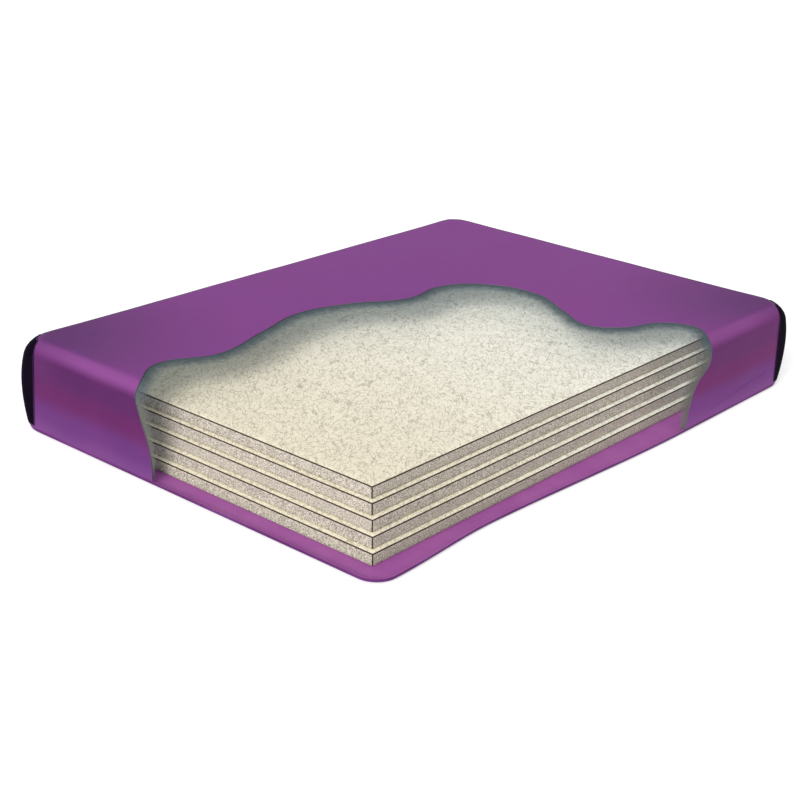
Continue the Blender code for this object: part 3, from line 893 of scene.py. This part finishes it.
def makeLayer(index):
    halfX = mattress["width"] / 2 - layerLook["insetX"] - layerLook["step"] * index
    halfY = mattress["length"] / 2 - layerLook["insetY"] - layerLook["step"] * index
    low = layerLook["low"] + layerLook["rise"] * index
    thick = layerLook["thickness"]
    startClean()
    bpy.ops.mesh.primitive_cube_add(size=1, location=(0, 0, low + thick / 2))
    made = named(f"fibreLayer{index + 1}")
    made.scale = (halfX * 2, halfY * 2, thick)
    applyPlace(made)
    giveMaterials(made, fibreTop, fibreSeam, fibreContactShade, fibreSide)
    editOn(made, "EDGE")

    def runs(axis):
        return lambda edge: abs(edge.verts[0].co[axis] - edge.verts[1].co[axis]) > 1e-6

    for axis, parts in ((0, layerLook["xParts"]), (1, layerLook["yParts"]), (2, layerLook["zParts"])):
        pick(made, "edges", runs(axis))
        bpy.ops.mesh.subdivide(number_cuts=parts - 1)

    def onFaces(edge):  # how many of the block's faces the edge lies on
        faces = ((0, -halfX), (0, halfX), (1, -halfY), (1, halfY), (2, low), (2, low + thick))
        return sum(all(abs(v.co[axis] - at) < 1e-5 for v in edge.verts) for axis, at in faces)

    def lowEdge(edge):
        return all(abs(v.co.z - low) < 1e-5 for v in edge.verts)

    def betweenSideAndFloor(edge):
        slopes = [face.normal.z for face in edge.link_faces]
        return len(slopes) == 2 and any(abs(slope) < 0.5 for slope in slopes) and any(slope < -0.5 for slope in slopes)

    pick(made, "edges", lambda edge: onFaces(edge) == 2 and not lowEdge(edge))
    bpy.ops.mesh.bevel(offset=layerLook["seam"], segments=2, profile=0.5, material=1)
    # the lower edges take the painted contact shade
    pick(made, "edges", lambda edge: lowEdge(edge) and betweenSideAndFloor(edge))
    bpy.ops.mesh.bevel(offset=layerLook["lap"], segments=1, profile=0.5, material=2)
    editOff()
    for face in made.data.polygons:
        if face.material_index == 0 and abs(face.normal.z) < 0.3:
            face.material_index = 3
    for vertex in made.data.vertices:
        x, y, z = vertex.co
        dip = dipAt(x, y, z, index)
        if z > low + thick * 0.5:
            vertex.co.z -= dip * 0.6
        if abs(abs(x) - halfX) < layerLook["edgeZone"]:
            vertex.co.x -= math.copysign(dip, x)
        if abs(abs(y) - halfY) < layerLook["edgeZone"]:
            vertex.co.y -= math.copysign(dip, y)
    smoothEdges(made, 50)
    return made


layers = [makeLayer(index) for index in range(layerLook["count"])]
print("fibre layers made")

valveLook = {  # heights are measured out from the wall
    "turns": 48, "flange": 0.045, "flangeTop": 0.0018, "gap": 0.0003, "sleeve": 0.030, "depth": 0.028, "wall": 0.0018,
    "neck": 0.0145, "neckWall": 0.0020, "neckTop": -0.0062,
    "thread": 0.00045, "threadStart": -0.0205, "threadPitch": 0.0035, "threadTurns": 3,
    "cap": 0.0180, "capBore": 0.0150, "capTop": -0.0003, "capUnder": -0.0029, "skirtEnd": -0.0183,
}


def turnedRings(name, profile, closed):  # radius and height of each ring, measured out from the wall
    startClean()
    bpy.ops.mesh.primitive_circle_add(vertices=valveLook["turns"], radius=profile[0][0], location=(0, 0, profile[0][1]))
    made = named(name)
    applyPlace(made)
    editOn(made, "EDGE")
    bpy.ops.mesh.select_all(action="SELECT")
    rings = profile[1:] + ([profile[0]] if closed else [])
    for (before, low), (after, high) in zip(profile, rings):
        bpy.ops.mesh.extrude_edges_move(TRANSFORM_OT_translate={"value": (0, 0, high - low)})
        bpy.ops.transform.resize(value=(after / before, after / before, 1), center_override=(0, 0, high))
    if not closed:
        bpy.ops.mesh.edge_face_add()
        bpy.ops.mesh.inset(thickness=profile[-1][0] * 0.5)
        pick(made, "edges", lambda edge: len(edge.link_faces) == 1)
        if any(edge.select for edge in bmesh.from_edit_mesh(made.data).edges):
            bpy.ops.mesh.edge_face_add()
    bpy.ops.mesh.select_all(action="SELECT")
    bpy.ops.mesh.remove_doubles(threshold=0.00002)
    bpy.ops.mesh.normals_make_consistent(inside=False)
    editOff()
    return made


def ontoWall(item):
    item.rotation_euler = (-math.pi / 2, 0, 0)
    item.location = (0, mattress["length"] / 2, coverLook["valveHeight"])
    applyPlace(item)


def makeValveBody():
    look = valveLook
    flange, sleeve, bore, neck = look["flange"], look["sleeve"], look["neck"] - look["neckWall"], look["neck"]
    top, gap, floor, wall = look["flangeTop"], look["gap"], -look["depth"], look["wall"]
    lip = look["neckTop"]
    made = turnedRings("valveBody", [
        (flange - 0.0006, top - 0.0004), (flange, top - 0.0012), (flange, gap), (sleeve, gap),
        (sleeve, floor), (bore, floor), (bore, lip - 0.0004), (bore + 0.0004, lip),
        (neck - 0.0004, lip), (neck, lip - 0.0004), (neck, floor + wall + 0.0015), (neck + 0.0015, floor + wall),
        (sleeve - wall - 0.0015, floor + wall), (sleeve - wall, floor + wall + 0.0015),
        (sleeve - wall, top - 0.0010), (sleeve - wall + 0.0010, top),
        (0.0370, top), (0.0376, top - 0.0006), (0.0388, top - 0.0006), (0.0394, top),
        (0.0412, top), (0.0418, top - 0.0006), (0.0430, top - 0.0006), (0.0436, top)], True)
    ontoWall(made)
    giveMaterials(made, valveVinyl)
    smoothEdges(made, 50)
    return made


def makeNeckThread():
    look = valveLook
    startClean()
    bpy.ops.mesh.primitive_circle_add(
        vertices=6, radius=look["thread"], location=(look["neck"] - 0.0001, 0, look["threadStart"]),
        rotation=(math.pi / 2, 0, 0), fill_type="NGON")
    made = named("neckThread")
    applyPlace(made)
    applyModifier(made, "SCREW", axis="Z", screw_offset=look["threadPitch"], iterations=look["threadTurns"],
                  steps=40, render_steps=40, use_merge_vertices=False)
    faceOutward(made)
    ontoWall(made)
    giveMaterials(made, valveVinyl)
    smoothEdges(made, 50)
    return made


def makeCap():
    look = valveLook
    outer, bore, top, under, end = look["cap"], look["capBore"], look["capTop"], look["capUnder"], look["skirtEnd"]
    made = turnedRings("valveCap", [
        (0.0040, under), (bore - 0.0006, under), (bore, under - 0.0006), (bore, end + 0.0006), (bore + 0.0006, end),
        (outer - 0.0006, end), (outer, end + 0.0006), (outer, top - 0.0022), (outer - 0.0007, top - 0.0007),
        (outer - 0.0020, top), (0.0128, top), (0.0120, top - 0.0009), (0.0060, top - 0.0009)], False)
    editOn(made)

    def groove(face):  # every second face round the skirt, so that the rest stand as ribs
        spot = face.calc_center_median()
        onSkirt = math.hypot(spot.x, spot.y) > outer * 0.97 and abs(face.normal.z) < 0.3
        column = math.degrees(math.atan2(spot.y, spot.x)) * look["turns"] / 360
        return onSkirt and face.calc_area() > 1e-6 and round(column - 0.5) % 2 == 0

    pick(made, "faces", groove)
    bpy.ops.mesh.inset(thickness=0.0002, use_individual=True)
    bpy.ops.transform.resize(value=(0.978, 0.978, 1), center_override=(0, 0, 0))
    editOff()
    faceOutward(made)
    ontoWall(made)
    giveMaterials(made, capPlastic)
    smoothEdges(made, 40)
    return made


valveVinyl = plainVinyl("valveVinyl", screenColour(104, 52, 112), screenColour(118, 62, 124), 0.4, 700.0)
capPlastic = plainVinyl("capPlastic", screenColour(104, 96, 124), screenColour(116, 108, 136), 0.35, 1500.0)
plugRubber = plainVinyl("plugRubber", screenColour(214, 212, 204), screenColour(200, 196, 186), 0.5, 900.0)
linerFoam = plainVinyl("linerFoam", screenColour(222, 220, 212), screenColour(206, 202, 192), 0.8, 1200.0)
valveBody = makeValveBody()
neckThread = makeNeckThread()
valveCap = makeCap()
for node, material in (("valve_plug", plugRubber), ("cap_liner", linerFoam)):
    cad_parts[node].data.materials.clear()
    giveMaterials(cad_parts[node], material)
print("fill valve made")

cameraLook = {
    "azimuth": 40.023, "elevation": 21.953, "roll": 2.301,
    "lens": 70.27, "sensor": 36, "place": (3.043, -3.7462, 1.9498), "far": 200,
}


def addCamera():
    startClean()
    bpy.ops.object.camera_add(location=cameraLook["place"])
    made = bpy.context.object
    made.data.lens = cameraLook["lens"]
    made.data.sensor_width = cameraLook["sensor"]
    made.data.clip_end = cameraLook["far"]
    azimuth, elevation, roll = (math.radians(cameraLook[key]) for key in ("azimuth", "elevation", "roll"))
    level = math.cos(elevation)
    forward = Vector((-math.sin(azimuth) * level, math.cos(azimuth) * level, -math.sin(elevation)))
    right = forward.cross(Vector((0, 0, 1))).normalized()
    up = right.cross(forward)
    across = math.cos(roll) * right + math.sin(roll) * up
    upright = math.cos(roll) * up - math.sin(roll) * right
    turn = Matrix((across, upright, -forward)).transposed().to_4x4()
    made.matrix_world = Matrix.Translation(Vector(cameraLook["place"])) @ turn
    bpy.context.scene.camera = made


lightLook = {
    "sun": {"towards": (0.30, -0.94, 0.53), "strength": 3.1, "softness": 35, "colour": (1.0, 0.985, 0.965)},
    "world": 0.62,
    "floor": {
        "size": 60, "drop": 0.0005, "glow": 0.42,
        "tints": ((0.70, 0.70, 0.70, 1), (0.72, 0.72, 0.72, 1))},
}


def addLights():
    look = lightLook["sun"]
    startClean()
    bpy.ops.object.light_add(type="SUN", location=(3, -6, 4))
    made = bpy.context.object
    made.name = "sunLight"
    made.data.energy = look["strength"]
    made.data.angle = math.radians(look["softness"])
    made.data.color = look["colour"]
    made.rotation_euler = (-Vector(look["towards"])).to_track_quat("-Z", "Y").to_euler()
    world = bpy.data.worlds.new("studioSky")
    bpy.context.scene.world = world
    world.use_nodes = True
    world.node_tree.nodes["Background"].inputs["Color"].default_value = (1, 1, 1, 1)
    world.node_tree.nodes["Background"].inputs["Strength"].default_value = lightLook["world"]
    bpy.context.scene.view_settings.view_transform = "Standard"


def addFloor():
    look = lightLook["floor"]
    startClean()
    bpy.ops.mesh.primitive_plane_add(size=look["size"], location=(0, 0, -look["drop"]))
    made = named("floor")
    material, tree, shader, coords = newMaterial(
        "paleFloor", 0.9, Emission_Strength=look["glow"], Emission_Color=(1, 1, 1, 1), Specular_IOR_Level=0.0)
    tint = noiseNode(tree, coords, 0.6, 2.0)["Fac"]
    tree.links.new(mixColour(tree, tint, *look["tints"]), shader.inputs["Base Color"])
    giveMaterials(made, material)


addCamera()
addLights()
addFloor()
print("camera, lights and floor made")

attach(coverSkin, "mattress")
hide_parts("top_sheet", "front_end_wall", "back_end_wall", "left_side_wall", "right_side_wall")
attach(cutShadeFilm, "mattress")
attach(bottomTray, "mattress")
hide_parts("bottom_sheet", "bottom_weld_band")
for corner, piece in patches.items():
    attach(piece, "mattress")
    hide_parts(corner + "_corner_patch")
for index, piece in enumerate(layers):
    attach(piece, "mattress")
    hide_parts(f"fibre_layer_{index + 1}")

for piece in (valveBody, neckThread):
    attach(piece, "mattress")
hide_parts("valve_body")
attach(valveCap, "cap")
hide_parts("valve_cap")
